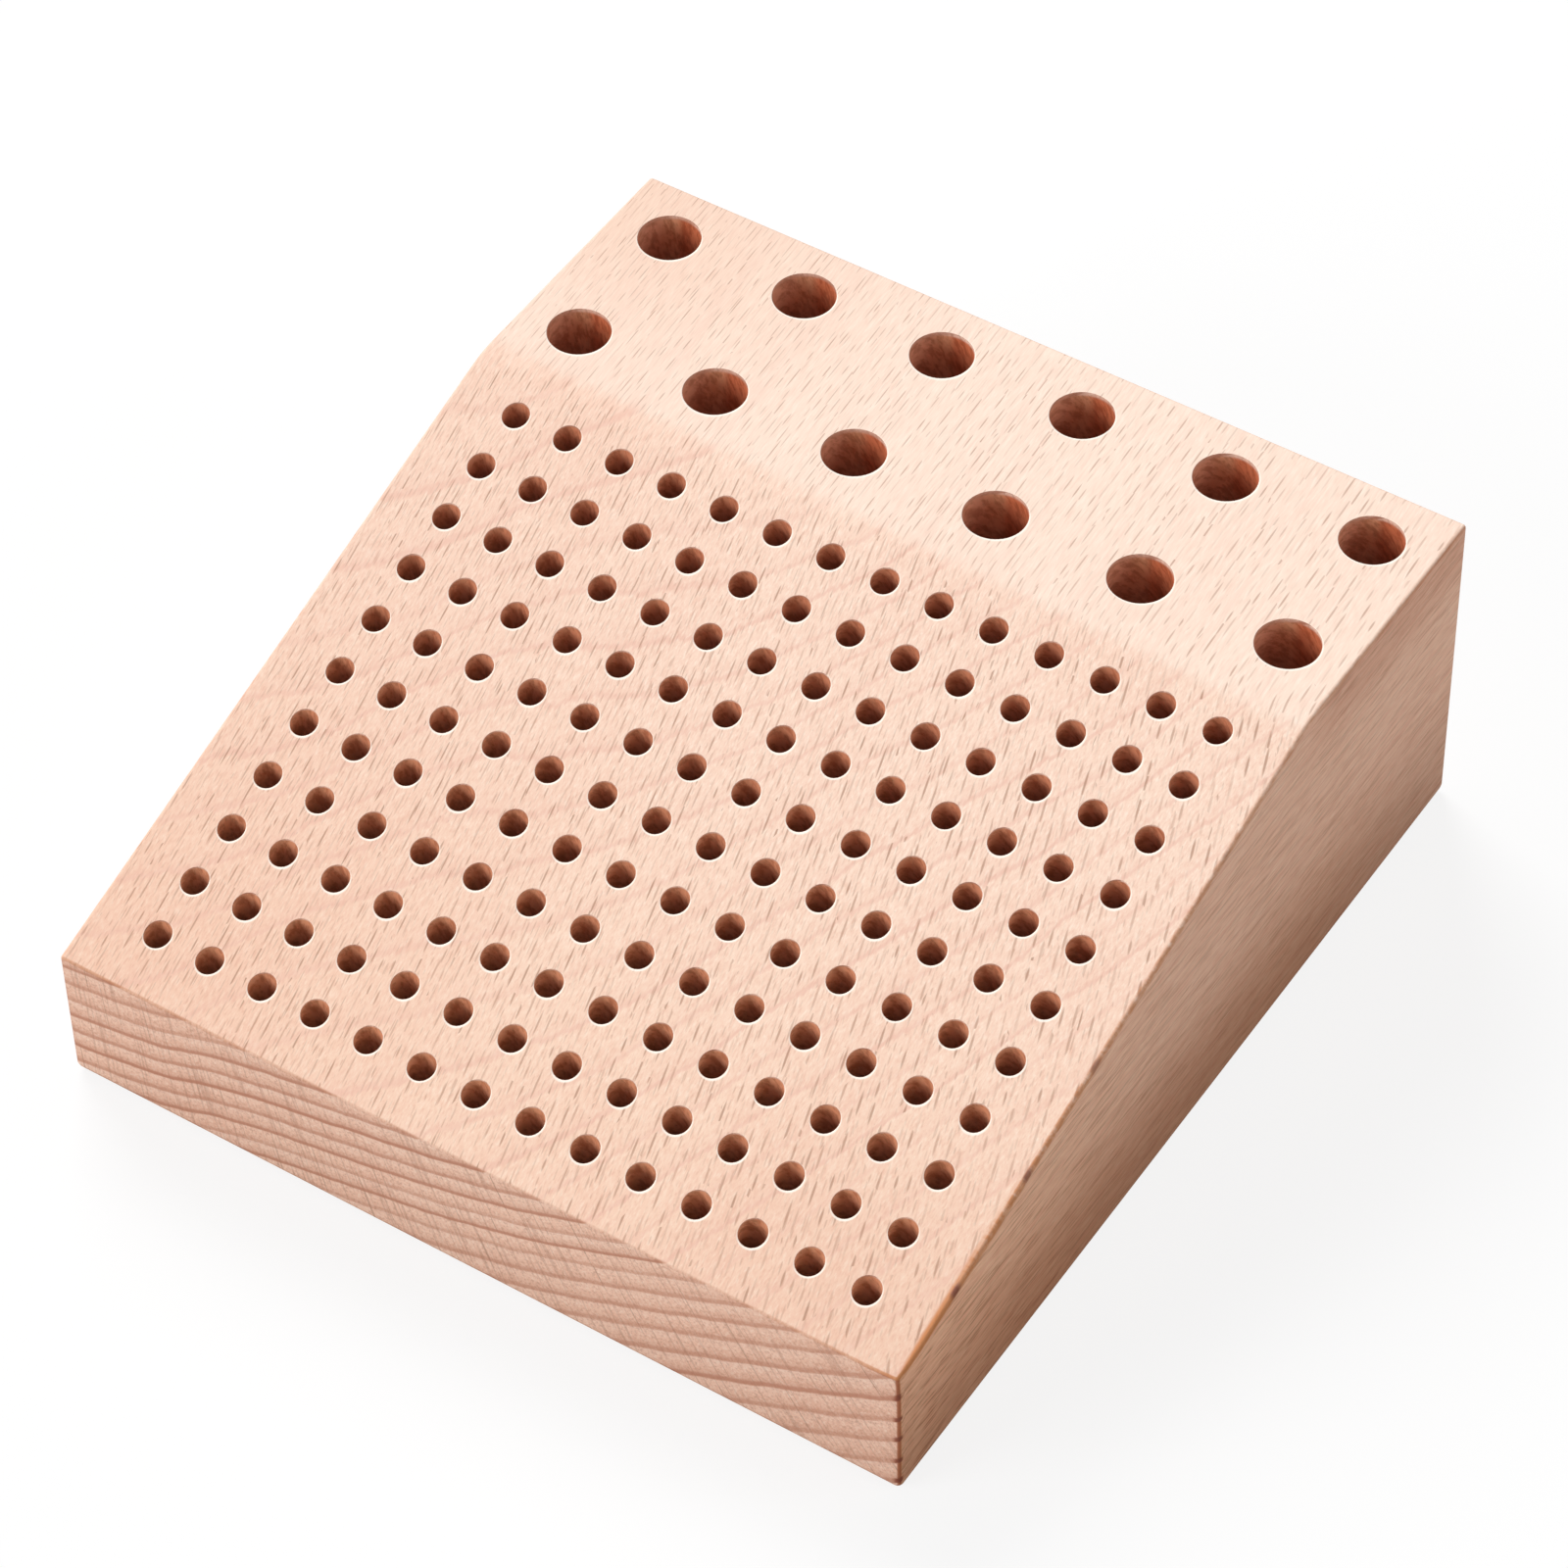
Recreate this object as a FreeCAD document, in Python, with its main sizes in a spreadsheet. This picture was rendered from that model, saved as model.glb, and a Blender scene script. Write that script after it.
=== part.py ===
import FreeCAD, Part
import Sketcher
import os

# Tool caddy: one block of solid beech, with small sockets drilled up its slope
# and large ones along its flat top strip.
# Millimetres. The origin is the middle of the base. X runs to the right, Y to the back and Z up.

DRIVING_SIZES = [
    ("block_width", 200.0, "block, left to right"),
    ("block_depth", 217.0, "block, front to back"),
    ("front_height", 35.0, "upright front face"),
    ("back_height", 80.0, "upright back face"),
    ("top_strip_depth", 64.0, "flat top strip, from the crease to the back"),
    ("crease_radius", 30.0, "soft crease between the slope and the strip"),
    ("edge_radius", 0.8, "sanded upright and upper edges"),
    ("base_edge_radius", 2.0, "rounder edges round the base"),
    ("small_diameter", 6.0, "small socket"),
    ("small_depth", 25.0, "small socket, from its mouth to its flat floor on its axis"),
    ("small_pitch", 13.0, "small sockets, centre to centre in plan, both ways"),
    ("small_front_margin", 13.0, "front face to the first row of small sockets"),
    ("small_crease_margin", 8.0, "least room from the last row of small sockets to the crease"),
    ("small_side_margin", 13.0, "least room from the outer columns of small sockets to the sides"),
    ("large_diameter", 13.8, "large socket"),
    ("large_depth", 50.0, "large socket, from its mouth to its flat floor"),
    ("large_pitch", 34.3, "large sockets, centre to centre, both ways"),
    ("large_back_margin", 14.2, "back face to the last row of large sockets"),
    ("large_crease_margin", 12.0, "least room from the first row of large sockets to the crease"),
    ("large_side_margin", 12.0, "least room from the outer columns of large sockets to the sides"),
    ("bit_run_out", 2.0, "length of a bit that stays above the mouth of its socket"),
]

# Formulas that several features share, all in terms of the driving sizes
SLOPE_RUN = "(sizes.block_depth - sizes.top_strip_depth)"
SLOPE_GRADE = f"((sizes.back_height - sizes.front_height) / {SLOPE_RUN})"
SLOPE_STRETCH = f"sqrt(1 + {SLOPE_GRADE} * {SLOPE_GRADE})"

TOUCHING = 1e-6
CUBIC_CENTIMETRE = 1000.0

doc = FreeCAD.newDocument("ToolCaddy")


def add_sizes():
    """The sheet of driving sizes: a name, a number and what it measures on each row."""
    sheet = doc.addObject("Spreadsheet::Sheet", "sizes")
    for row, (name, number, meaning) in enumerate(DRIVING_SIZES, start=1):
        sheet.set(f"A{row}", name)
        sheet.set(f"B{row}", str(number))
        sheet.set(f"C{row}", meaning)
        sheet.setAlias(f"B{row}", name)
    doc.recompute()
    return sheet


def how_many(room, pitch):
    """Formula for the sockets that fit in a length of room, one pitch apart."""
    return f"floor({room} / {pitch}) + 1"


def origin_feature(body, role):
    """One of the body's own origin planes or axes."""
    return next(item for item in body.Origin.OriginFeatures if item.Role == role)


def add_sketch(body, name, role):
    """An empty sketch on one of the body's origin planes."""
    sketch = body.newObject("Sketcher::SketchObject", name)
    sketch.AttachmentSupport = [(origin_feature(body, role), "")]
    sketch.MapMode = "FlatFace"
    return sketch


def close_outline(sketch, corners):
    """Straight lines from corner to corner, joined into a closed outline."""
    points = [FreeCAD.Vector(x, y, 0) for x, y in corners]
    for start, end in zip(points, points[1:] + points[:1]):
        sketch.addGeometry(Part.LineSegment(start, end), False)
    for line in range(len(points)):
        following = (line + 1) % len(points)
        sketch.addConstraint(Sketcher.Constraint("Coincident", line, 2, following, 1))


def dimension(sketch, kind, start, end, formula):
    """A distance from one point of a sketch to another, tied to the driving sizes."""
    first, second = sketch.getPoint(*start), sketch.getPoint(*end)
    value = second.x - first.x if kind == "DistanceX" else second.y - first.y
    index = sketch.addConstraint(Sketcher.Constraint(kind, *start, *end, value))
    sketch.setExpression(f"Constraints[{index}]", formula)


def add_side_profile(body, sizes):
    """The block's side view: upright front, slope, flat strip, upright back and base."""
    front, back = -sizes.block_depth / 2, sizes.block_depth / 2
    corners = [
        (front, 0),
        (front, sizes.front_height),
        (back - sizes.top_strip_depth, sizes.back_height),
        (back, sizes.back_height),
        (back, 0),
    ]
    sketch = add_sketch(body, "side_profile", "YZ_Plane")
    close_outline(sketch, corners)
    face, _, strip, rear, base = range(len(corners))
    middle = (-1, 1)
    sketch.addConstraint(Sketcher.Constraint("Symmetric", base, 1, base, 2, *middle))
    sketch.addConstraint(Sketcher.Constraint("Horizontal", base))
    sketch.addConstraint(Sketcher.Constraint("Horizontal", strip))
    sketch.addConstraint(Sketcher.Constraint("Vertical", face))
    sketch.addConstraint(Sketcher.Constraint("Vertical", rear))
    dimension(sketch, "DistanceX", (base, 2), (base, 1), "sizes.block_depth")
    dimension(sketch, "DistanceX", (strip, 1), (strip, 2), "sizes.top_strip_depth")
    dimension(sketch, "DistanceY", (face, 1), (face, 2), "sizes.front_height")
    dimension(sketch, "DistanceY", (rear, 2), (rear, 1), "sizes.back_height")
    return sketch


def edges_where(feature, wanted):
    """Names of a feature's edges whose middle point is wanted."""
    names = []
    for number, edge in enumerate(feature.Shape.Edges, start=1):
        middle = edge.valueAt((edge.FirstParameter + edge.LastParameter) / 2)
        if wanted(middle):
            names.append(f"Edge{number}")
    return names


def add_rounding(body, name, feature, wanted, radius):
    """A fillet on those edges of the feature before it that are wanted."""
    fillet = body.newObject("PartDesign::Fillet", name)
    fillet.Base = (feature, edges_where(feature, wanted))
    fillet.setExpression("Radius", radius)
    doc.recompute()
    return fillet


def add_blank(body, profile, sizes):
    """The block before drilling: its side view carried across the width, with crease and edges rounded."""
    blank = body.newObject("PartDesign::Pad", "blank")
    blank.Profile = profile
    blank.SideType = "Symmetric"
    blank.setExpression("Length", "sizes.block_width")
    doc.recompute()
    crease = FreeCAD.Vector(0, sizes.block_depth / 2 - sizes.top_strip_depth, sizes.back_height)

    def is_crease(middle):
        return middle.isEqual(crease, TOUCHING)

    def is_outer(middle):
        beside = abs(abs(middle.x) - sizes.block_width / 2) < TOUCHING
        at_an_end = abs(abs(middle.y) - sizes.block_depth / 2) < TOUCHING
        return beside or at_an_end

    def is_base(middle):
        return is_outer(middle) and middle.z < TOUCHING

    def is_above_base(middle):
        return is_outer(middle) and middle.z > sizes.base_edge_radius

    softened = add_rounding(body, "soft_crease", blank, is_crease, "sizes.crease_radius")
    footed = add_rounding(body, "rounded_base", softened, is_base, "sizes.base_edge_radius")
    return add_rounding(body, "sanded_edges", footed, is_above_base, "sizes.edge_radius")


def add_socket(body, kind, sizes, columns, along, height, mouth):
    """The first socket of a field: half the outline of a flat-ended bit, turned about an upright axis.

    The axis meets the surface at the outline's own origin, which the formulas along and height place.
    The formula mouth says how far the bit stands above that point.
    """
    sketch = add_sketch(body, f"{kind}_bit", "YZ_Plane")
    sketch.setExpression("AttachmentOffset.Base.x", along)
    sketch.setExpression("AttachmentOffset.Base.y", height)
    sketch.setExpression("AttachmentOffset.Base.z", f"-({columns} - 1) * sizes.{kind}_pitch / 2")
    radius = getattr(sizes, f"{kind}_diameter") / 2
    depth = getattr(sizes, f"{kind}_depth")
    close_outline(sketch, [(0, -depth), (radius, -depth), (radius, radius), (0, radius)])
    floor, wall, top, axis = range(4)
    origin, upright = (-1, 1), -2
    sketch.addConstraint(Sketcher.Constraint("Horizontal", floor))
    sketch.addConstraint(Sketcher.Constraint("Vertical", wall))
    sketch.addConstraint(Sketcher.Constraint("Horizontal", top))
    sketch.addConstraint(Sketcher.Constraint("PointOnObject", axis, 1, upright))
    sketch.addConstraint(Sketcher.Constraint("PointOnObject", axis, 2, upright))
    dimension(sketch, "DistanceX", (top, 2), (top, 1), f"sizes.{kind}_diameter / 2")
    dimension(sketch, "DistanceY", (wall, 1), origin, f"sizes.{kind}_depth")
    dimension(sketch, "DistanceY", origin, (wall, 2), mouth)
    socket = body.newObject("PartDesign::Groove", f"first_{kind}_socket")
    socket.Profile = sketch
    socket.ReferenceAxis = (sketch, ["V_Axis"])
    socket.Angle = 360
    doc.recompute()
    return socket


def add_steps(body, name, direction, spacing, count):
    """Equal steps along a direction, for a field of sockets."""
    steps = body.newObject("PartDesign::LinearPattern", name)
    steps.Direction = direction
    steps.Mode = "Spacing"
    steps.setExpression("Offset", spacing)
    steps.setExpression("Occurrences", count)
    return steps


def repeat_socket(body, kind, socket, column_steps, row_steps):
    """A field of sockets: the first one carried along its columns and rows."""
    field = body.newObject("PartDesign::MultiTransform", f"{kind}_sockets")
    field.Originals = [socket]
    field.Transformations = [column_steps, row_steps]
    body.Tip = field
    doc.recompute()
    return field


def add_small_sockets(body, profile, sizes):
    """Upright sockets in a square field, each row one step further up the slope and equally deep below it."""
    columns = how_many("(sizes.block_width - 2 * sizes.small_side_margin)", "sizes.small_pitch")
    room = f"({SLOPE_RUN} - sizes.small_front_margin - sizes.small_crease_margin)"
    rows = how_many(room, "sizes.small_pitch")
    along = "sizes.small_front_margin - sizes.block_depth / 2"
    height = f"sizes.front_height + sizes.small_front_margin * {SLOPE_GRADE}"
    mouth = f"sizes.small_diameter / 2 * {SLOPE_GRADE} + sizes.bit_run_out"
    first = add_socket(body, "small", sizes, columns, along, height, mouth)
    across = (origin_feature(body, "X_Axis"), [""])
    up_the_slope = (profile, ["Edge2"])
    row_spacing = f"sizes.small_pitch * {SLOPE_STRETCH}"
    column_steps = add_steps(body, "small_columns", across, "sizes.small_pitch", columns)
    row_steps = add_steps(body, "small_rows", up_the_slope, row_spacing, rows)
    return repeat_socket(body, "small", first, column_steps, row_steps)


def add_large_sockets(body, sizes):
    """Upright sockets in a square field on the flat strip, set out from the back."""
    columns = how_many("(sizes.block_width - 2 * sizes.large_side_margin)", "sizes.large_pitch")
    room = "(sizes.top_strip_depth - sizes.large_back_margin - sizes.large_crease_margin)"
    rows = how_many(room, "sizes.large_pitch")
    along = "sizes.block_depth / 2 - sizes.large_back_margin"
    first = add_socket(body, "large", sizes, columns, along, "sizes.back_height", "sizes.bit_run_out")
    across = (origin_feature(body, "X_Axis"), [""])
    front_to_back = (origin_feature(body, "Y_Axis"), [""])
    column_steps = add_steps(body, "large_columns", across, "sizes.large_pitch", columns)
    row_steps = add_steps(body, "large_rows", front_to_back, "sizes.large_pitch", rows)
    row_steps.Reversed = True
    return repeat_socket(body, "large", first, column_steps, row_steps)


def add_caddy_block():
    """The whole caddy: the blank, then both fields of sockets."""
    sizes = add_sizes()
    body = doc.addObject("PartDesign::Body", "caddy_block")
    body.Label = "caddy_block"
    body.Placement = FreeCAD.Placement()
    profile = add_side_profile(body, sizes)
    add_blank(body, profile, sizes)
    add_small_sockets(body, profile, sizes)
    add_large_sockets(body, sizes)
    return body


def check(sub_parts):
    """Stops the build if a feature failed or a sub-part is no sound solid."""
    for item in doc.Objects:
        if "Invalid" in item.State or "Error" in item.State:
            raise RuntimeError(f"{item.Label} failed: {item.State}")
    for item in sub_parts:
        if item.Shape.isNull() or not item.Shape.isValid():
            raise RuntimeError(f"{item.Label} has no sound shape")


def write(sub_parts):
    """One file for each sub-part, named after it."""
    os.makedirs("parts", exist_ok=True)
    for item in sub_parts:
        item.Shape.exportStep(f"parts/{item.Label}.step")
        volume = item.Shape.Volume / CUBIC_CENTIMETRE
        print(f"{item.Label}: {len(item.Shape.Solids)} solid, {volume:.2f} cubic centimetres")


caddy = [add_caddy_block()]
check(caddy)
write(caddy)
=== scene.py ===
from collections import namedtuple
import math
import random

import bpy
import numpy as np
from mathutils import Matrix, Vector
from mathutils.geometry import delaunay_2d_cdt


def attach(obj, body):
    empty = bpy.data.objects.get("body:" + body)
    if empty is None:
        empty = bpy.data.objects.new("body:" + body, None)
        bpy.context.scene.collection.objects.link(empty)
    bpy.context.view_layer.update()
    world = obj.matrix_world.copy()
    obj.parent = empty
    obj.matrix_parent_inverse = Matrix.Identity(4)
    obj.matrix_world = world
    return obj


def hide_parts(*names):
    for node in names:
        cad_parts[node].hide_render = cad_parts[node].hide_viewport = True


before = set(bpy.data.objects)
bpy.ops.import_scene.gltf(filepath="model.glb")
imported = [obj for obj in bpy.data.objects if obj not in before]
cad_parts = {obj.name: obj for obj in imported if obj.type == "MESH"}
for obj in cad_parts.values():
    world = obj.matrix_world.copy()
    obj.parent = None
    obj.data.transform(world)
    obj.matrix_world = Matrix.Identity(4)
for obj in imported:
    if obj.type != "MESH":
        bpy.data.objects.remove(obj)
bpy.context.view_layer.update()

# Sizes of the block, in millimetres as in the construction.
MM = 0.001
WIDTH = 200.0
DEPTH = 217.0
FRONT_HEIGHT = 35.0
BACK_HEIGHT = 80.0
STRIP_DEPTH = 64.0
CREASE_RADIUS = 30.0
EDGE_RADIUS = 0.8
BASE_EDGE_RADIUS = 2.0

# The front right upper corner is worn down, most at its tip.
WORN_DEPTH = 1.8
WORN_REACH = 11.0
WORN_STEPS = (1.5, 3.5, 7.0)

HALF_WIDTH = WIDTH / 2
INNER_X = HALF_WIDTH - EDGE_RADIUS
FRONT = -DEPTH / 2
BACK = DEPTH / 2
CREASE = BACK - STRIP_DEPTH
GRADE = (BACK_HEIGHT - FRONT_HEIGHT) / (CREASE - FRONT)
SLOPE = math.atan(GRADE)
CREASE_TANGENT = CREASE_RADIUS * math.tan(SLOPE / 2)
ARC_FRONT = CREASE - CREASE_TANGENT * math.cos(SLOPE)
ARC_BACK = CREASE + CREASE_TANGENT

# Small sockets on the slope and large sockets on the flat strip.
SMALL_RADIUS = 3.0
SMALL_DEPTH = 25.0
SMALL_PITCH = 13.0
SMALL_COLUMNS = 14
SMALL_ROWS = 11
SMALL_FRONT_MARGIN = 13.0
LARGE_RADIUS = 6.9
LARGE_DEPTH = 50.0
LARGE_PITCH = 34.3
LARGE_COLUMNS = 6
LARGE_BACK_MARGIN = 14.2
LARGE_ROW_YS = (BACK - LARGE_BACK_MARGIN - LARGE_PITCH, BACK - LARGE_BACK_MARGIN)

# Each mouth is eased a little, most on the side that is nearest in the photograph, and a painted highlight
# makes it palest there.
EASED_TOWARDS = math.radians(-57.0)
EASED_LEAST = 0.10
EASED_MOST = (0.58, 0.74)
EASED_LARGE = 1.25
EASED_UNEVEN = 0.12
EASED_DROP = 0.30
EASED_SEED = 7
RIM_HIGHLIGHT_SHIFT = 0.3
RIM_HIGHLIGHT_FAR_SIDE = 0.2

# How finely the visible block is drawn.
EDGE_STEPS = 4
CREASE_STEPS = 8
EVEN_SPANS = 16
TOP_SPAN = 13.0
CREASE_POINT_SPACING = 3.0
CREASE_POINT_CLEAR = 1.0
RIM_STEPS = 4
SMALL_SEGMENTS = 28
LARGE_SEGMENTS = 48
POINT_DIGITS = 4
PLAN_TOLERANCE = 1e-6


def top_height(y):
    """Height of the slope, the soft crease or the strip at y."""
    if y <= ARC_FRONT:
        return FRONT_HEIGHT + (y - FRONT) * GRADE
    if y >= ARC_BACK:
        return BACK_HEIGHT
    return BACK_HEIGHT - CREASE_RADIUS + math.sqrt(CREASE_RADIUS ** 2 - (ARC_BACK - y) ** 2)


def top_normal(y):
    """Unit normal of the top at y."""
    if y <= ARC_FRONT:
        tilt = SLOPE
    elif y >= ARC_BACK:
        tilt = 0.0
    else:
        tilt = math.asin((ARC_BACK - y) / CREASE_RADIUS)
    return Vector((0.0, -math.sin(tilt), math.cos(tilt)))


def corner(centre_y, centre_z, radius, start, end):
    """Points of one rounded edge of the side outline, as (y, z, direction of the normal)."""
    points = []
    for step in range(EDGE_STEPS + 1):
        turn = start + (end - start) * step / EDGE_STEPS
        points.append((centre_y + radius * math.cos(turn), centre_z + radius * math.sin(turn), turn))
    return points


def spread(start, end, span):
    """Even steps between start and end, ends left out."""
    count = max(1, round(abs(end - start) / span))
    return [start + (end - start) * k / count for k in range(1, count)]


def side_outline():
    """The closed side outline, from the back's top edge over the top to the front and round the base."""
    up = math.pi / 2
    lean = up + SLOPE
    front_centre_y = FRONT + EDGE_RADIUS
    front_centre_z = FRONT_HEIGHT + EDGE_RADIUS * GRADE - EDGE_RADIUS / math.cos(SLOPE)
    foot = BASE_EDGE_RADIUS
    back_top = corner(BACK - EDGE_RADIUS, BACK_HEIGHT - EDGE_RADIUS, EDGE_RADIUS, 0.0, up)
    front_top = corner(front_centre_y, front_centre_z, EDGE_RADIUS, lean, math.pi)
    front_base = corner(FRONT + foot, foot, foot, math.pi, 1.5 * math.pi)
    back_base = corner(BACK - foot, foot, foot, 1.5 * math.pi, 2 * math.pi)
    top = [(y, BACK_HEIGHT, up) for y in spread(back_top[-1][0], ARC_BACK, TOP_SPAN)]
    for step in range(CREASE_STEPS + 1):
        turn = up + SLOPE * step / CREASE_STEPS
        y = ARC_BACK + CREASE_RADIUS * math.cos(turn)
        z = BACK_HEIGHT - CREASE_RADIUS + CREASE_RADIUS * math.sin(turn)
        top.append((y, z, turn))
    edge_y = front_top[0][0]
    slope_ys = spread(ARC_FRONT, edge_y + WORN_STEPS[-1], TOP_SPAN)
    slope_ys += [edge_y + step for step in reversed(WORN_STEPS)]
    top += [(y, top_height(y), lean) for y in slope_ys]
    front = [(FRONT, front_top[-1][1] - step, math.pi) for step in WORN_STEPS]
    return back_top, top, front_top, front, front_base, back_base


def side_radius(turn):
    """Rounding between the outline and the left or right side, wider round the base."""
    return EDGE_RADIUS + (BASE_EDGE_RADIUS - EDGE_RADIUS) * max(0.0, -math.sin(turn))


def worn(point):
    """Where a point lies after the wear at the front right upper corner."""
    tip = Vector((HALF_WIDTH, FRONT, FRONT_HEIGHT))
    inward = Vector((-1.0, 1.0, -1.0)).normalized()
    near = max(0.0, 1.0 - (Vector(point) - tip).length / WORN_REACH)
    return Vector(point) + inward * (WORN_DEPTH * near ** 2)


class Mesh:
    """Points, faces and per-point values of the visible block."""

    def __init__(self):
        self.points = []
        self.normals = []
        self.values = []
        self.faces = []
        self.face_maps = []
        self.flat_faces = set()
        self.found = {}

    def add(self, point, normal, rim=0.0, depth=0.0, edge=0.0):
        """Number of the point at this place, which is made where there is none yet."""
        key = tuple(round(c, POINT_DIGITS) for c in point)
        if key not in self.found:
            self.found[key] = len(self.points)
            self.points.append(tuple(point))
            self.normals.append(Vector(normal).normalized())
            self.values.append((rim, depth, edge))
        return self.found[key]

    def face(self, indices, places, flat=False):
        """Adds a face with its points' places in the layout, each point once."""
        kept = []
        kept_places = []
        for index, place in zip(indices, places):
            if index not in kept:
                kept.append(index)
                kept_places.append(place)
        if len(kept) > 2:
            if flat:
                self.flat_faces.add(len(self.faces))
            self.faces.append(kept)
            self.face_maps.append(kept_places)


class Plan:
    """The top seen from above: its border, the socket mouths and loose points."""

    BORDER = -1
    LOOSE = -2

    def __init__(self):
        self.points = []
        self.edges = []
        self.owners = []
        self.indices = []

    def add(self, place, index, owner):
        """Adds a point; its owner is a socket's number, the border or nothing."""
        self.points.append(Vector(place))
        self.indices.append(index)
        self.owners.append(owner)

    def loop(self, places, indices, owner):
        """Adds a closed loop."""
        first = len(self.points)
        for k, (place, index) in enumerate(zip(places, indices)):
            self.add(place, index, owner)
            self.edges.append((first + k, first + (k + 1) % len(places)))


# Layout of the unwrapped faces, in millimetres of wood, with the socket walls drawn smaller.
ATLAS = 436.0
ATLAS_MARGIN = 2.0
CHART_GAP = 3.0
WRAP_U = HALF_WIDTH + ATLAS_MARGIN + CHART_GAP
SIDE_U = 2 * WRAP_U + DEPTH / 2
SIDE_V = 4.0
SIDE_ROW = 84.0
BASE_V = CHART_GAP + 2 * SIDE_ROW
SOCKET_SCALE = 0.3
TILE_GAP = 0.8
LARGE_TILE_GAP = 1.2
LARGE_TILES_V = 348.0
SMALL_TILES_V = 392.0
SMALL_TILE_SPARE = 3.0
SMALL_TILE_U = 2 * math.pi * SMALL_RADIUS * SOCKET_SCALE + TILE_GAP
SMALL_TILE_V = (SMALL_DEPTH + SMALL_TILE_SPARE) * SOCKET_SCALE + TILE_GAP
SMALL_TILES_PER_ROW = int((ATLAS - 2 * ATLAS_MARGIN) // SMALL_TILE_U)
LARGE_TILE_U = 2 * math.pi * LARGE_RADIUS * SOCKET_SCALE + LARGE_TILE_GAP
LARGE_DISC_GAP = 0.3
SMALL_DISC_DROP = 1.2
SMALL_DISC_SHRINK = 0.5

# The outline's points, the distance along it, and where its stretches begin and end.
back_top, top_run, front_top, front_run, front_base, back_base = side_outline()
outline = back_top + top_run + front_top + front_run + front_base + back_base
OUTLINE_COUNT = len(outline)
outline_length = [0.0]
for (y0, z0, _), (y1, z1, _) in zip(outline, outline[1:] + outline[:1]):
    outline_length.append(outline_length[-1] + math.hypot(y1 - y0, z1 - z0))
TOP_FIRST = len(back_top) - 1
TOP_LAST = len(back_top) + len(top_run)
FRONT_BASE_FIRST = TOP_LAST + len(front_top) + len(front_run)
BASE_FIRST = FRONT_BASE_FIRST + len(front_base) - 1
BACK_BASE_FIRST = FRONT_BASE_FIRST + len(front_base)
BACK_CHART_FIRST = OUTLINE_COUNT - 1 - EDGE_STEPS // 2

# Points across the width, closer together near the worn corner.
columns = [float(x) for x in np.linspace(-INNER_X, INNER_X, EVEN_SPANS + 1)[:-1]]
columns += [INNER_X - step for step in reversed(WORN_STEPS)]
columns.append(INNER_X)
WIDTH_SPANS = len(columns) - 1


def length_on_top(y):
    """Distance along the outline of a point on the top, for the unwrapped layout."""
    ys = [outline[k][0] for k in range(TOP_LAST, TOP_FIRST - 1, -1)]
    lengths = [outline_length[k] for k in range(TOP_LAST, TOP_FIRST - 1, -1)]
    return float(np.interp(y, ys, lengths))


def wrap_place(x, length):
    """Place of a point of the top, front and back in the layout."""
    return WRAP_U + x, length + BACK_HEIGHT + CHART_GAP


def top_places(mesh, indices):
    """Places in the layout of points of the top."""
    points = [mesh.points[i] for i in indices]
    return [wrap_place(x, length_on_top(y)) for x, y, _ in points]


# How singed each edge is: along the front's upper edge by x, along the right upper edge by y.
FRONT_EDGE_SINGE = (
    (-100.0, 0.50), (-60.0, 0.28), (-20.0, 0.12), (50.0, 0.12), (85.0, 0.30), (100.0, 0.90),
)
RIGHT_EDGE_SINGE = ((-108.0, 1.0), (-60.0, 0.80), (10.0, 0.65), (44.0, 0.35), (108.0, 0.30))
BASE_EDGE_SINGE = 0.50
BACK_EDGE_SINGE = 0.12
LEFT_EDGE_SINGE = 0.15
FRONT_RIGHT_SINGE = 1.0
FRONT_LEFT_SINGE = 0.35


def along(stops, value):
    """A value between the stops."""
    return float(np.interp(value, [s[0] for s in stops], [s[1] for s in stops]))


def edge_share(position):
    """1 over the middle of a rounded edge and 0 at both ends."""
    return min(1.0, 2.0 - 2.0 * abs(2.0 * position / EDGE_STEPS - 1.0))


def cross_edge_singe(k, x):
    """Singe of the edges that run from left to right, for outline point k."""
    if k < TOP_LAST:
        return BACK_EDGE_SINGE
    if k < FRONT_BASE_FIRST:
        return along(FRONT_EDGE_SINGE, x)
    return BASE_EDGE_SINGE if k < BACK_BASE_FIRST else BACK_EDGE_SINGE


def side_edge_singe(sign, k, y):
    """Singe of the edges round the left or the right side, for outline point k."""
    if k < TOP_FIRST or k >= BACK_BASE_FIRST + EDGE_STEPS:
        return BACK_EDGE_SINGE
    if k < TOP_LAST:
        return along(RIGHT_EDGE_SINGE, y) if sign > 0 else LEFT_EDGE_SINGE
    if k <= FRONT_BASE_FIRST:
        return FRONT_RIGHT_SINGE if sign > 0 else FRONT_LEFT_SINGE
    return BASE_EDGE_SINGE


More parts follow.
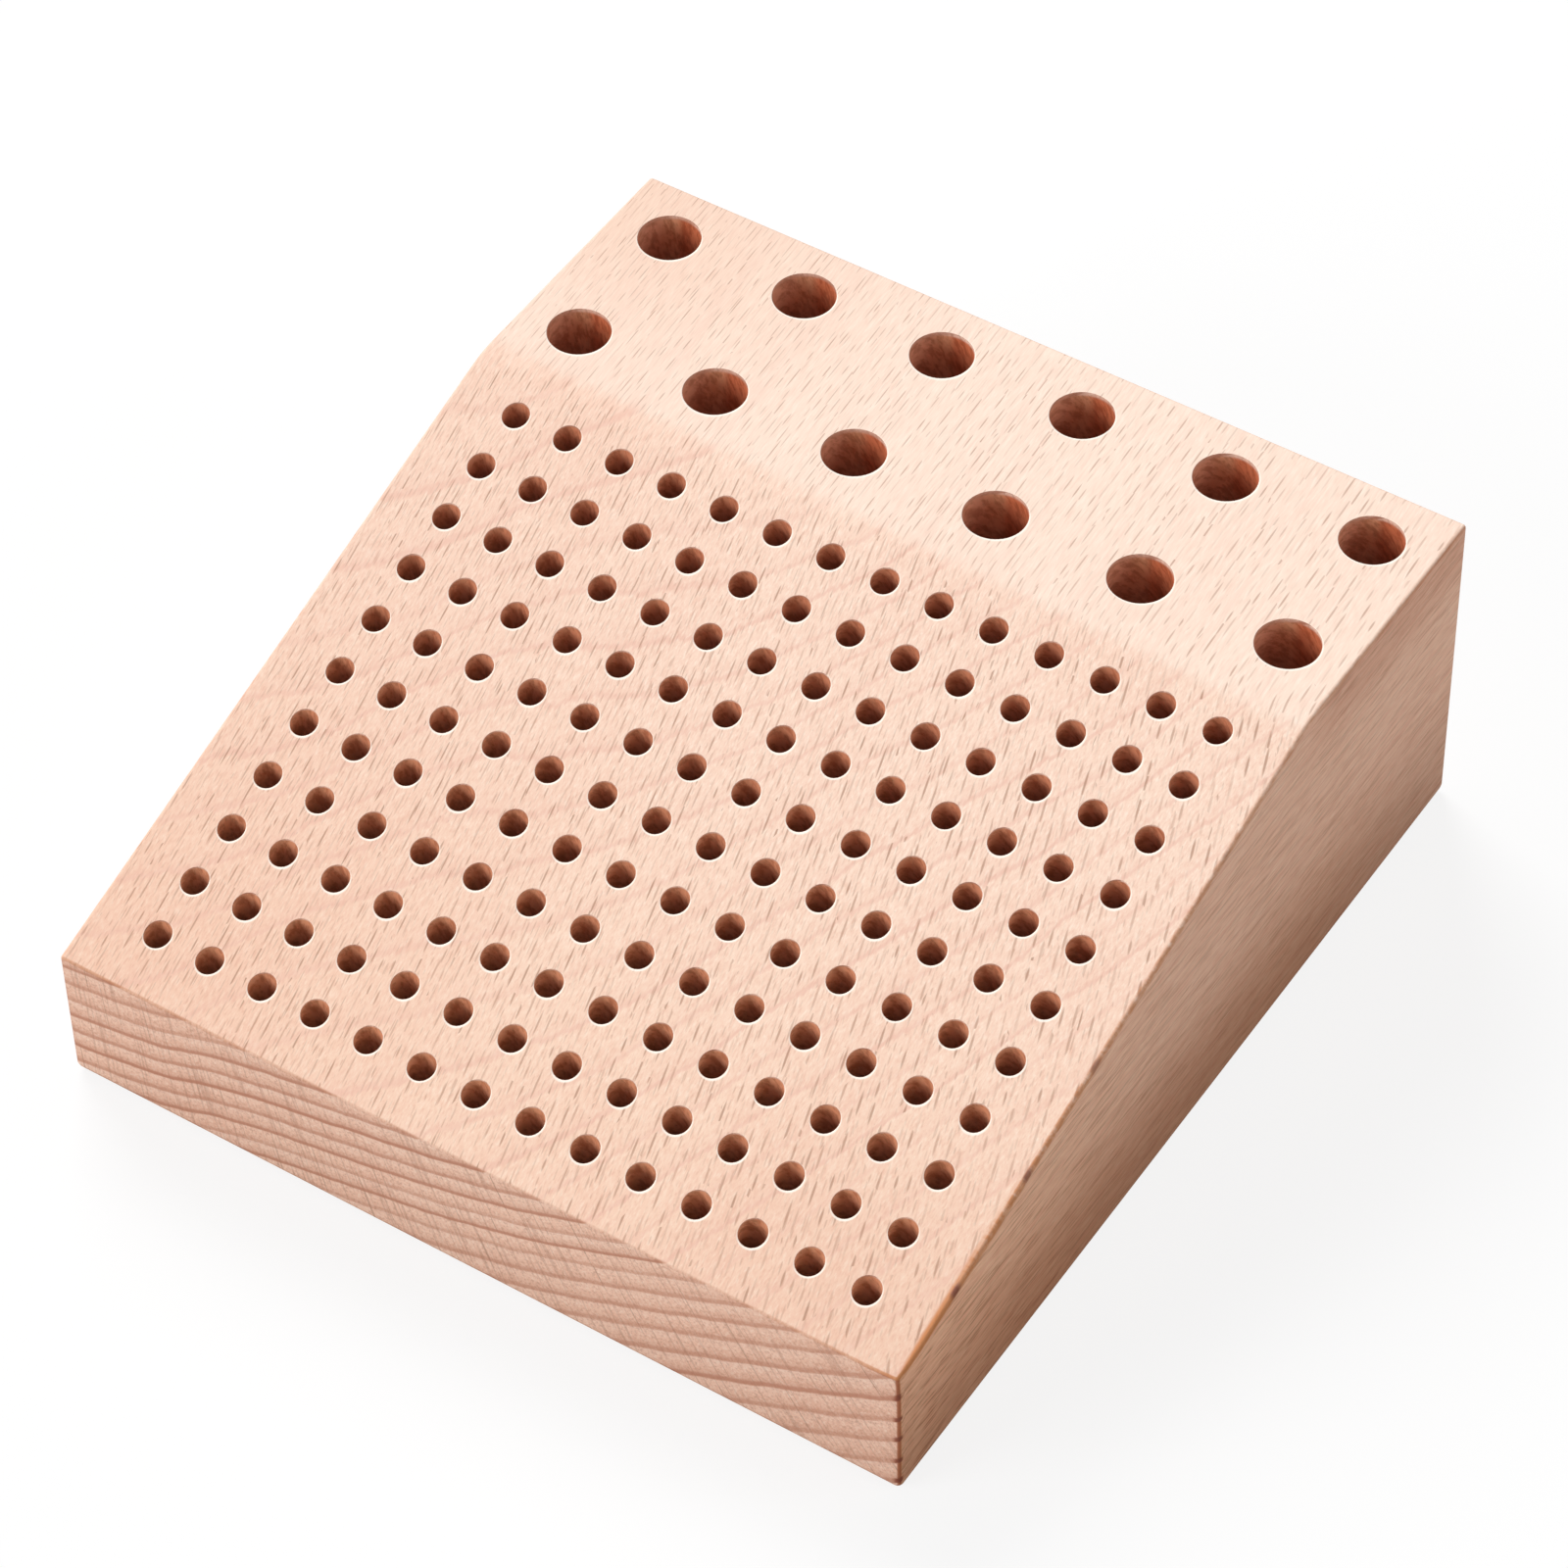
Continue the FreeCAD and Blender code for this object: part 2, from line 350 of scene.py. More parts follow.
def add_wrap(mesh):
    """Adds front, back and base with the edges across the width; gives all points by outline and column."""
    outline_edge = [0.0] * OUTLINE_COUNT
    for first in (0, TOP_LAST, FRONT_BASE_FIRST, BACK_BASE_FIRST):
        for step in range(EDGE_STEPS + 1):
            outline_edge[first + step] = edge_share(step)
    lines = []
    for k, (y, z, turn) in enumerate(outline):
        normal = (0.0, math.cos(turn), math.sin(turn))
        xs = list(columns)
        xs[0] = side_radius(turn) - HALF_WIDTH
        xs[-1] = HALF_WIDTH - side_radius(turn)
        line = []
        for x in xs:
            singe = outline_edge[k] * cross_edge_singe(k, x)
            line.append(mesh.add((x, y, z), normal, edge=singe))
        lines.append(line)
    for k in range(OUTLINE_COUNT):
        if TOP_FIRST <= k < TOP_LAST:
            continue
        here = lines[k]
        after = lines[(k + 1) % OUTLINE_COUNT]
        low = outline_length[k]
        high = outline_length[k + 1]
        lengths = (low, high, high, low)
        for c in range(WIDTH_SPANS):
            ring = [here[c], after[c], after[c + 1], here[c + 1]]
            xs = [mesh.points[i][0] for i in ring]
            if BASE_FIRST <= k < BACK_CHART_FIRST:
                base_v = BASE_V - outline_length[BASE_FIRST]
                places = [(SIDE_U + x, base_v + v) for x, v in zip(xs, lengths)]
            else:
                shift = outline_length[-1] if k >= BACK_CHART_FIRST else 0.0
                places = [wrap_place(x, v - shift) for x, v in zip(xs, lengths)]
            mesh.face(ring, places)
    return lines


def add_side(mesh, sign):
    """Adds the left (-1) or the right (1) side with the rounded edges round it."""
    side_v = SIDE_V + (SIDE_ROW if sign > 0 else 0.0)
    rings = []
    for step in range(EDGE_STEPS + 1):
        turn_out = math.pi / 2 * step / EDGE_STEPS
        ring = []
        for k, (y, z, turn) in enumerate(outline):
            radius = side_radius(turn)
            inward = radius * (1 - math.cos(turn_out))
            x = sign * (HALF_WIDTH - radius + radius * math.sin(turn_out))
            reach = radius * (math.pi / 2 - turn_out) - radius
            ny = math.cos(turn)
            nz = math.sin(turn)
            normal = (sign * math.sin(turn_out), ny * math.cos(turn_out), nz * math.cos(turn_out))
            point = (x, y - ny * inward, z - nz * inward)
            singe = edge_share(step) * side_edge_singe(sign, k, y)
            index = mesh.add(point, normal, edge=singe)
            ring.append((index, (SIDE_U + y + ny * reach, side_v + z + nz * reach)))
        rings.append(ring)
    for inner, outer in zip(rings, rings[1:]):
        for k in range(OUTLINE_COUNT):
            after = (k + 1) % OUTLINE_COUNT
            quad = [inner[k], outer[k], outer[after], inner[after]]
            if sign > 0:
                quad.reverse()
            mesh.face([q[0] for q in quad], [q[1] for q in quad])
    flat_side = rings[-1] if sign > 0 else rings[-1][::-1]
    mesh.face([q[0] for q in flat_side], [q[1] for q in flat_side], flat=True)


Socket = namedtuple("Socket", "x y radius depth segments")


def all_sockets():
    """Every socket, row by row: the small ones from the front, then the large ones."""
    sockets = []
    for row in range(SMALL_ROWS):
        y = FRONT + SMALL_FRONT_MARGIN + row * SMALL_PITCH
        for column in range(SMALL_COLUMNS):
            x = (column - (SMALL_COLUMNS - 1) / 2) * SMALL_PITCH
            sockets.append(Socket(x, y, SMALL_RADIUS, SMALL_DEPTH, SMALL_SEGMENTS))
    for y in LARGE_ROW_YS:
        for column in range(LARGE_COLUMNS):
            x = (column - (LARGE_COLUMNS - 1) / 2) * LARGE_PITCH
            sockets.append(Socket(x, y, LARGE_RADIUS, LARGE_DEPTH, LARGE_SEGMENTS))
    return sockets


def add_rim(mesh, socket, eased, phase):
    """Adds the points of an eased mouth, as rings from the top down to the wall."""
    rings = []
    for step in range(RIM_STEPS + 1):
        lean = math.pi / 2 * step / RIM_STEPS
        bright = math.sin(math.pi * min(1.0, (step + RIM_HIGHLIGHT_SHIFT) / RIM_STEPS)) if step else 0.0
        ring = []
        for s in range(socket.segments):
            angle = 2 * math.pi * s / socket.segments
            near = 0.5 + 0.5 * math.cos(angle - EASED_TOWARDS)
            uneven = 1 + EASED_UNEVEN * math.sin(2 * angle + phase)
            width = EASED_LEAST + eased * near ** 2 * uneven
            drop = EASED_DROP * width
            reach = socket.radius + width * (1 - math.sin(lean))
            x = socket.x + reach * math.cos(angle)
            y = socket.y + reach * math.sin(angle)
            below = drop * (1 - math.cos(lean))
            wall = Vector((-math.cos(angle), -math.sin(angle), 0.0))
            normal = top_normal(y) * (width * math.cos(lean)) + wall * (drop * math.sin(lean))
            point = (x, y, top_height(y) - below)
            # Painted highlight on the eased cut, strongest on the near side.
            rim = bright * (RIM_HIGHLIGHT_FAR_SIDE + (1 - RIM_HIGHLIGHT_FAR_SIDE) * near)
            ring.append(mesh.add(point, normal, rim=rim, depth=below * SMALL_RADIUS / socket.radius))
        rings.append(ring)
    return rings


def add_wall(mesh, socket, mouth, number):
    """Adds a socket's wall from its mouth down, and its flat floor."""
    floor_z = top_height(socket.y) - socket.depth
    foot = []
    for s in range(socket.segments):
        angle = 2 * math.pi * s / socket.segments
        x = socket.x + socket.radius * math.cos(angle)
        y = socket.y + socket.radius * math.sin(angle)
        wall = (-math.cos(angle), -math.sin(angle), 0.0)
        depth = (top_height(y) - floor_z) * SMALL_RADIUS / socket.radius
        foot.append(mesh.add((x, y, floor_z), wall, depth=depth))
    disc_radius = socket.radius * SOCKET_SCALE
    if socket.radius > SMALL_RADIUS:
        tile_u = ATLAS_MARGIN + (number - SMALL_COLUMNS * SMALL_ROWS) * LARGE_TILE_U
        tile_v = LARGE_TILES_V
        disc_v = tile_v - disc_radius - LARGE_DISC_GAP
        shrink = SOCKET_SCALE
    else:
        tile_u = ATLAS_MARGIN + (number % SMALL_TILES_PER_ROW) * SMALL_TILE_U
        tile_v = SMALL_TILES_V + (number // SMALL_TILES_PER_ROW) * SMALL_TILE_V
        disc_v = tile_v - SMALL_DISC_DROP
        shrink = SOCKET_SCALE * SMALL_DISC_SHRINK
    step_u = 2 * math.pi * disc_radius / socket.segments
    for s in range(socket.segments):
        t = (s + 1) % socket.segments
        quad = [mouth[s], mouth[t], foot[t], foot[s]]
        heights = [(mesh.points[i][2] - floor_z) * SOCKET_SCALE for i in quad]
        mesh.face(quad, [(tile_u + step_u * (s + i), tile_v + h) for i, h in zip((0, 1, 1, 0), heights)])
    disc_u = tile_u + disc_radius
    disc = []
    for x, y, _ in [mesh.points[i] for i in foot]:
        disc.append((disc_u + (x - socket.x) * shrink, disc_v + (y - socket.y) * shrink))
    mesh.face(foot, disc, flat=True)


def add_sockets(mesh, plan, sockets):
    """Adds all sockets to the mesh, and their mouths to the plan of the top."""
    chance = random.Random(EASED_SEED)
    for number, socket in enumerate(sockets):
        eased = chance.uniform(*EASED_MOST)
        if socket.radius > SMALL_RADIUS:
            eased *= EASED_LARGE
        rings = add_rim(mesh, socket, eased, chance.uniform(0, 2 * math.pi))
        plan.loop([mesh.points[i][:2] for i in rings[0]], rings[0], number)
        for outer, inner in zip(rings, rings[1:]):
            for s in range(socket.segments):
                t = (s + 1) % socket.segments
                quad = [outer[s], outer[t], inner[t], inner[s]]
                mesh.face(quad, top_places(mesh, quad))
        add_wall(mesh, socket, rings[-1], number)


def add_border(mesh, plan, lines):
    """Adds the plan's border: up the right side, along the back, down the left side and along the front."""
    border = [lines[k][WIDTH_SPANS] for k in range(TOP_LAST, TOP_FIRST, -1)]
    border += [lines[TOP_FIRST][c] for c in range(WIDTH_SPANS, 0, -1)]
    border += [lines[k][0] for k in range(TOP_FIRST, TOP_LAST)]
    border += [lines[TOP_LAST][c] for c in range(0, WIDTH_SPANS)]
    plan.loop([mesh.points[i][:2] for i in border], border, Plan.BORDER)


def add_crease_points(mesh, plan, sockets):
    """Adds loose points that let the top follow the soft crease between the sockets."""
    first_x = CREASE_POINT_SPACING - INNER_X
    last_x = INNER_X - CREASE_POINT_CLEAR
    for step in range(CREASE_STEPS + 1):
        y = ARC_FRONT + (ARC_BACK - ARC_FRONT) * step / CREASE_STEPS
        for x in np.arange(first_x, last_x, CREASE_POINT_SPACING):
            if all(math.hypot(x - s.x, y - s.y) > s.radius + CREASE_POINT_CLEAR for s in sockets):
                index = mesh.add((float(x), y, top_height(y)), top_normal(y))
                plan.add((float(x), y), index, Plan.LOOSE)


def fill_top(mesh, plan):
    """Fills the plan with triangles, except inside the socket mouths."""
    filled = delaunay_2d_cdt(plan.points, plan.edges, [], 0, PLAN_TOLERANCE)
    triangles = filled[2]
    source = [origins[0] if origins else None for origins in filled[3]]
    for triangle in triangles:
        owners = {plan.owners[source[v]] for v in triangle}
        if len(owners) == 1 and min(owners) >= 0:
            continue
        indices = [plan.indices[source[v]] for v in triangle]
        if len(set(indices)) == len(indices):
            mesh.face(indices, top_places(mesh, indices))


def block_mesh():
    """The whole visible block."""
    mesh = Mesh()
    plan = Plan()
    sockets = all_sockets()
    lines = add_wrap(mesh)
    for sign in (-1, 1):
        add_side(mesh, sign)
    add_border(mesh, plan, lines)
    add_sockets(mesh, plan, sockets)
    add_crease_points(mesh, plan, sockets)
    fill_top(mesh, plan)
    return mesh


def make_object(name, built):
    """A mesh object in metres with its normals, layout and per-point values."""
    data = bpy.data.meshes.new(name)
    data.from_pydata([worn(p) * MM for p in built.points], [], built.faces)
    layout = data.uv_layers.new(name="OFBake")
    flat_places = [c / ATLAS for places in built.face_maps for place in places for c in place]
    layout.data.foreach_set("uv", flat_places)
    for position, label in enumerate(("rim", "depth", "edge")):
        attribute = data.attributes.new(label, "FLOAT", "POINT")
        attribute.data.foreach_set("value", [v[position] for v in built.values])
    data.polygons.foreach_set("use_smooth", [True] * len(built.faces))
    loop_normals = []
    for polygon in data.polygons:
        if polygon.index in built.flat_faces:
            loop_normals += [polygon.normal[:]] * polygon.loop_total
        else:
            loop_normals += [built.normals[i][:] for i in polygon.vertices]
    data.normals_split_custom_set(loop_normals)
    data.update()
    built_object = bpy.data.objects.new(name, data)
    bpy.context.scene.collection.objects.link(built_object)
    return built_object


class Graph:
    """A material's node tree, built up by short calls."""

    def __init__(self, tree):
        self.tree = tree

    def node(self, kind, **settings):
        made = self.tree.nodes.new(kind)
        for name, value in settings.items():
            setattr(made, name, value)
        return made

    def feed(self, socket, value):
        if isinstance(value, bpy.types.NodeSocket):
            self.tree.links.new(value, socket)
        else:
            socket.default_value = value

    def fed(self, made, *values):
        """The first output of a node whose first inputs are fed with the values."""
        for socket, value in zip(made.inputs, values):
            self.feed(socket, value)
        return made.outputs[0]

    def math(self, operation, *values, clamp=False):
        return self.fed(self.node("ShaderNodeMath", operation=operation, use_clamp=clamp), *values)

    def add(self, a, b):
        return self.math("ADD", a, b)

    def sub(self, a, b):
        return self.math("SUBTRACT", a, b)

    def mul(self, a, b):
        return self.math("MULTIPLY", a, b)

    def most(self, a, b):
        return self.math("MAXIMUM", a, b)

    def size(self, value):
        return self.math("ABSOLUTE", value)

    def line(self, value, grow, start):
        return self.math("MULTIPLY_ADD", value, grow, start)

    def between(self, share, ends):
        """The first end where the share is 0 and the second where it is 1."""
        return self.line(share, ends[1] - ends[0], ends[0])

    def vector(self, operation, *values):
        return self.fed(self.node("ShaderNodeVectorMath", operation=operation), *values)

    def combine(self, x, y, z):
        return self.fed(self.node("ShaderNodeCombineXYZ"), x, y, z)

    def separate(self, vector):
        made = self.node("ShaderNodeSeparateXYZ")
        self.feed(made.inputs[0], vector)
        return made.outputs

    def smooth(self, value, span, ends=(0.0, 1.0)):
        """Runs softly from the first end to the second while the value crosses the span."""
        made = self.node("ShaderNodeMapRange", interpolation_type="SMOOTHSTEP")
        return self.fed(made, value, *span, *ends)

    def noise(self, point, stretch, detail=2.0, roughness=0.5):
        """Noise in a space that is stretched along each axis of the point."""
        made = self.node("ShaderNodeTexNoise", noise_dimensions="3D")
        self.feed(made.inputs["Vector"], self.vector("MULTIPLY", point, stretch))
        self.feed(made.inputs["Scale"], 1.0)
        self.feed(made.inputs["Detail"], detail)
        self.feed(made.inputs["Roughness"], roughness)
        return made.outputs["Fac"]

    def wave(self, point, stretch, height):
        """Noise that swings about zero by half the height to either side."""
        return self.line(self.noise(point, stretch), height, -height / 2)

    def mix(self, factor, a, b, blend="MIX"):
        made = self.node("ShaderNodeMix", data_type="RGBA", blend_type=blend)
        self.feed(made.inputs[0], factor)
        self.feed(made.inputs[6], a)
        self.feed(made.inputs[7], b)
        return made.outputs[2]

    def tint(self, factor, colour, by):
        """The colour times another, as far as the factor says."""
        return self.mix(factor, colour, by, "MULTIPLY")

    def blend(self, factor, a, b):
        """A mix of two shaders."""
        return self.fed(self.node("ShaderNodeMixShader"), factor, a, b)

    def ramp(self, value, stops):
        """A level that depends on a value from 0 to 1, as the stops say."""
        made = self.node("ShaderNodeValToRGB")
        elements = made.color_ramp.elements
        while len(elements) < len(stops):
            elements.new(1.0)
        for element, (position, level) in zip(elements, stops):
            element.position = position
            element.color = (level, level, level, 1.0)
        return self.fed(made, value)

    def curve(self, value, points, handle):
        """A value read off a curve through the points, which run from left to right."""
        made = self.node("ShaderNodeFloatCurve")
        low_in, low_out = points[0]
        high_in, high_out = points[-1]
        width = high_in - low_in
        height = high_out - low_out
        places = [((a - low_in) / width, (b - low_out) / height) for a, b in points]
        drawn = made.mapping.curves[0].points
        drawn[0].location = places[0]
        drawn[1].location = places[-1]
        for place in places[1:-1]:
            drawn.new(*place)
        for point in drawn:
            point.handle_type = handle
        made.mapping.update()
        self.feed(made.inputs["Value"], self.line(self.sub(value, low_in), 1 / width, 0.0))
        return self.line(made.outputs[0], height, low_out)

    def attribute(self, name):
        made = self.node("ShaderNodeAttribute", attribute_name=name)
        return made.outputs["Fac"]


def shade(red, green, blue):
    """An opaque colour in linear light."""
    return red, green, blue, 1.0


FALLING = (1.0, 0.0)

# Faces that count as ends and sides, and as top, by their normal.
FACING = (0.45, 0.90)
FACING_LEFT = (-0.90, -0.45)
FACING_UP = (0.50, 0.90)

# The strip is paler than the slope from a line that runs a little askew to the crease.
STRIP_TONE_Y = 44.8
STRIP_TONE_SKEW = 0.0327
STRIP_TONE_BLUR = (-2.2, 2.2)

# How far the fibres lean to the left towards the back, and where the tree's heart was at the front.
FIBRE_LEAN = math.tan(math.radians(3.5))
PITH_X = -113.0
PITH_Z = 322.0
RING_RADIUS = 320.0

# Height in millimetres that a ring line gains across the front, by x.
RING_RISE = ((-130.0, -29.0), (-80.0, -22.0), (-60.0, -15.0), (0.0, 0.0), (40.0, 16.5), (130.0, 66.0))

# Ring lines counted from the heart outwards, by depth below the middle of the base's front edge.
RING_COUNTS = (
    (-110.0, 0.0), (-82.0, 5.0), (-58.0, 11.0), (-43.0, 14.0), (-24.0, 18.0),
    (-11.0, 21.0), (6.0, 24.0), (45.0, 30.0), (72.0, 34.0),
)

# Bends of the rings, slow ones that grow towards the back, quick ones and fraying along the fibres: the
# stretch of the noise per millimetre, and its height.
SLOW_BEND = ((0.020, 0.006, 0.020), 8.0)
SLOW_BEND_GROWS = (0.0, 90.0)
QUICK_BEND = ((0.14, 0.03, 0.14), 1.0)
FRAY = ((1.4, 0.10, 0.5), 1.1)

# Strength of the dark line, of the figure on long grain and of the pale line, from one ring to the next.
RING_SHARES = (0.5, 1.0)
RING_PROFILE = (
    (0.0, 0.80), (0.06, 0.10), (0.30, 0.02), (0.55, 0.20),
    (0.75, 0.42), (0.84, 0.92), (0.95, 1.0), (1.0, 0.80),
)
FIGURE_PROFILE = ((0.0, 0.5), (0.03, 0.0), (0.50, 0.02), (0.86, 0.30), (0.92, 1.0), (0.97, 1.0), (1.0, 0.5))
PALE_PROFILE = ((0.0, 0.0), (0.05, 1.0), (0.30, 0.45), (0.60, 0.0), (1.0, 0.0))

# Wood rays, in millimetres: the cell that holds one, across, along and through the grain, and the ray's half
# width and half length. A shift sets each kind apart.
BIG_RAYS = {"cell": (2.5, 6.8, 30.0), "half_width": 0.26, "half_length": 2.8, "shift": 0.0}
FINE_RAYS = {"cell": (1.6, 4.2, 22.0), "half_width": 0.18, "half_length": 1.6, "shift": 13.7}
STRIP_RAYS = {"cell": (2.0, 6.6, 30.0), "half_width": 0.20, "half_length": 3.1, "shift": 5.3}
END_RAYS = {"cell": (5.5, 24.0, 60.0), "half_width": 0.20, "half_length": 9.0, "shift": 3.1}
FINE_RAY_SHARE = 0.50
RAY_SHIFT_ALONG = 1.7
RAY_LENGTHS = (0.55, 1.45)
RAY_STRENGTHS = (0.15, 1.0)
RAY_BORDER = (0.15, 1.15)

# Noise of the fibres, the pores and the slow drifts of tone: stretch per millimetre, detail and roughness.
FIBRES = ((1.5, 0.10, 1.5), 3.0, 0.6)
HAIRS = ((2.1, 0.24, 2.1), 2.0, 0.65)
STREAKS = ((1.65, 0.045, 1.65), 2.0, 0.6)
DRIFTS = ((0.03, 0.008, 0.03), 2.0, 0.5)
PORES = ((1.7, 1.7, 1.7), 2.0, 0.65)
HATCHING = ((1.5, 0.02, 0.05), 1.0, 0.5)
HATCHING_SHOWS = (0.54, 0.68)


def rays(graph, grain, cell, half_width, half_length, shift):
    """Short dark spindles where wood rays reach the surface, with a random strength each."""
    place = graph.vector("MULTIPLY", grain, tuple(1 / size for size in cell))
    place = graph.vector("ADD", place, (shift, shift * RAY_SHIFT_ALONG, 0.0))
    cells = graph.node("ShaderNodeTexVoronoi", voronoi_dimensions="3D", feature="F1")
    graph.feed(cells.inputs["Vector"], place)
    graph.feed(cells.inputs["Scale"], 1.0)
    offset = graph.vector("SUBTRACT", place, cells.outputs["Position"])
    off_across, off_along, _ = graph.separate(offset)
    luck = graph.node("ShaderNodeSeparateColor")
    graph.feed(luck.inputs[0], cells.outputs["Color"])
    longer = graph.between(luck.outputs[1], RAY_LENGTHS)
    wide = graph.mul(off_across, cell[0] / half_width)
    far = graph.math("DIVIDE", graph.mul(off_along, cell[1] / half_length), longer)
    reach = graph.add(graph.mul(wide, wide), graph.mul(far, far))
    spindle = graph.smooth(reach, RAY_BORDER, FALLING)
    return graph.mul(spindle, graph.between(luck.outputs[0], RAY_STRENGTHS))


class Wood:
    """Where a point of the block lies, how its face is turned, and the grain that runs there."""

    def __init__(self, g):
        coordinates = g.node("ShaderNodeTexCoord")
        self.place = g.vector("MULTIPLY", coordinates.outputs["Object"], (1 / MM, 1 / MM, 1 / MM))
        self.across, self.y, self.z = g.separate(self.place)
        self.from_front = g.sub(self.y, FRONT)
        self.facing_x, self.facing_y, self.facing_z = g.separate(coordinates.outputs["Normal"])
        self.end_grain = g.smooth(g.size(self.facing_y), FACING)
        self.side_grain = g.sub(1.0, self.end_grain)
        self.flank = g.smooth(g.size(self.facing_x), FACING)
        self.right_flank = g.smooth(self.facing_x, FACING)
        self.left_flank = g.smooth(self.facing_x, FACING_LEFT, FALLING)
        self.upward = g.smooth(self.facing_z, FACING_UP)
        past_crease = g.add(g.sub(self.y, STRIP_TONE_Y), g.mul(self.across, STRIP_TONE_SKEW))
        self.strip = g.mul(g.smooth(past_crease, STRIP_TONE_BLUR), self.upward)
        self.place_in_tree(g)
        self.grow_rings(g)
        self.grow_rays(g)
        self.fibre = g.noise(self.grain, *FIBRES)
        self.hair = g.noise(self.grain, *HAIRS)
        self.streak = g.noise(self.grain, *STREAKS)
        self.drift = g.noise(self.straight, *DRIFTS)
        self.pores = g.noise(self.place, *PORES)

    def place_in_tree(self, g):
        """Distance from the tree's heart, and arc along the ring, which the rays follow."""
        self.tree_x = g.line(self.from_front, FIBRE_LEAN, self.across)
        self.straight = g.combine(self.tree_x, self.y, self.z)
        from_x = g.sub(self.tree_x, PITH_X)
        from_z = g.sub(PITH_Z, self.z)
        radius = g.math("SQRT", g.add(g.mul(from_x, from_x), g.mul(from_z, from_z)))
        arc = g.mul(g.math("ARCTAN2", from_x, from_z), RING_RADIUS)
        self.grain = g.combine(arc, self.y, radius)
        self.turned_grain = g.combine(arc, radius, self.y)

    def grow_rings(self, g):
        """Growth rings: a level that each ring line keeps, bent and frayed, and counted."""
        slow_bend = g.mul(g.wave(self.straight, *SLOW_BEND), g.smooth(self.from_front, SLOW_BEND_GROWS))
        quick_bend = g.wave(self.straight, *QUICK_BEND)
        fray = g.mul(g.wave(self.grain, *FRAY), self.side_grain)
        level = g.sub(g.curve(self.tree_x, RING_RISE, "AUTO"), self.z)
        level = g.add(level, g.add(slow_bend, g.add(quick_bend, fray)))
        rings = g.curve(level, RING_COUNTS, "VECTOR")
        which = g.node("ShaderNodeTexWhiteNoise", noise_dimensions="1D")
        g.feed(which.inputs["W"], g.math("FLOOR", rings))
        share = g.between(which.outputs["Value"], RING_SHARES)
        in_ring = g.math("FRACT", rings)
        self.ring_line = g.mul(g.ramp(in_ring, RING_PROFILE), share)
        self.ring_figure = g.mul(g.ramp(in_ring, FIGURE_PROFILE), share)
        self.ring_pale = g.mul(g.ramp(in_ring, PALE_PROFILE), share)

    def grow_rays(self, g):
        """Rays of two sizes on the slope, finer ones on the strip, long thin ones across the end grain."""
        big = rays(g, self.grain, **BIG_RAYS)
        fine = rays(g, self.grain, **FINE_RAYS)
        on_strip = rays(g, self.grain, **STRIP_RAYS)
        on_slope = g.most(big, g.mul(fine, FINE_RAY_SHARE))
        self.ray_mark = g.add(g.mul(on_slope, g.sub(1.0, self.strip)), g.mul(on_strip, self.strip))
        self.end_rays = rays(g, self.turned_grain, **END_RAYS)
        self.hatch = g.smooth(g.noise(self.grain, *HATCHING), HATCHING_SHOWS)


# Sanded surfaces: fibres from cream to pink with dark and pale hairs, tinted towards the front, the left
# and the front right, with the rings' figure. The strip is paler, partly by its own finish and partly as a
# painted highlight, and pinker at the back left.
CREAM = shade(0.95, 0.735, 0.595)
PINK = shade(0.90, 0.62, 0.49)
TONE_BY_FIBRE = 1.6
TONE_BY_DRIFT = 0.9
TONE_START = -0.78
DARK_HAIR = shade(0.80, 0.50, 0.38)
DARK_HAIR_SHOWS = (0.48, 0.74)
PALE_HAIR = shade(0.99, 0.84, 0.72)
PALE_HAIR_SHOWS = (0.28, 0.48)
HAIR_STRENGTH = 0.55
FRONT_TINT = shade(0.97, 0.90, 0.85)
FRONT_TINT_Y = (-110.0, 10.0)
LEFT_TINT = shade(0.97, 0.92, 0.90)
LEFT_TINT_X = (-95.0, 10.0)
SLOPE_TINT_STRENGTH = 0.8
FRONT_RIGHT_TINT = shade(0.96, 0.93, 0.92)
FRONT_RIGHT_X = (20.0, 95.0)
FRONT_RIGHT_Y = (-105.0, -45.0)
FIGURE = shade(0.80, 0.47, 0.37)
FIGURE_SLOPE_TO_STRIP = (0.56, 0.19)
# Paler strip colour: partly the strip's own finish, partly a painted highlight.
STRIP_TONE_AND_HIGHLIGHT = shade(0.97, 0.84, 0.73)
STRIP_TONE_AND_HIGHLIGHT_STRENGTH = 0.32
BACK_LEFT_TINT = shade(0.96, 0.91, 0.88)
BACK_LEFT_X = (-100.0, -15.0)
BACK_LEFT_Y = (55.0, 95.0)


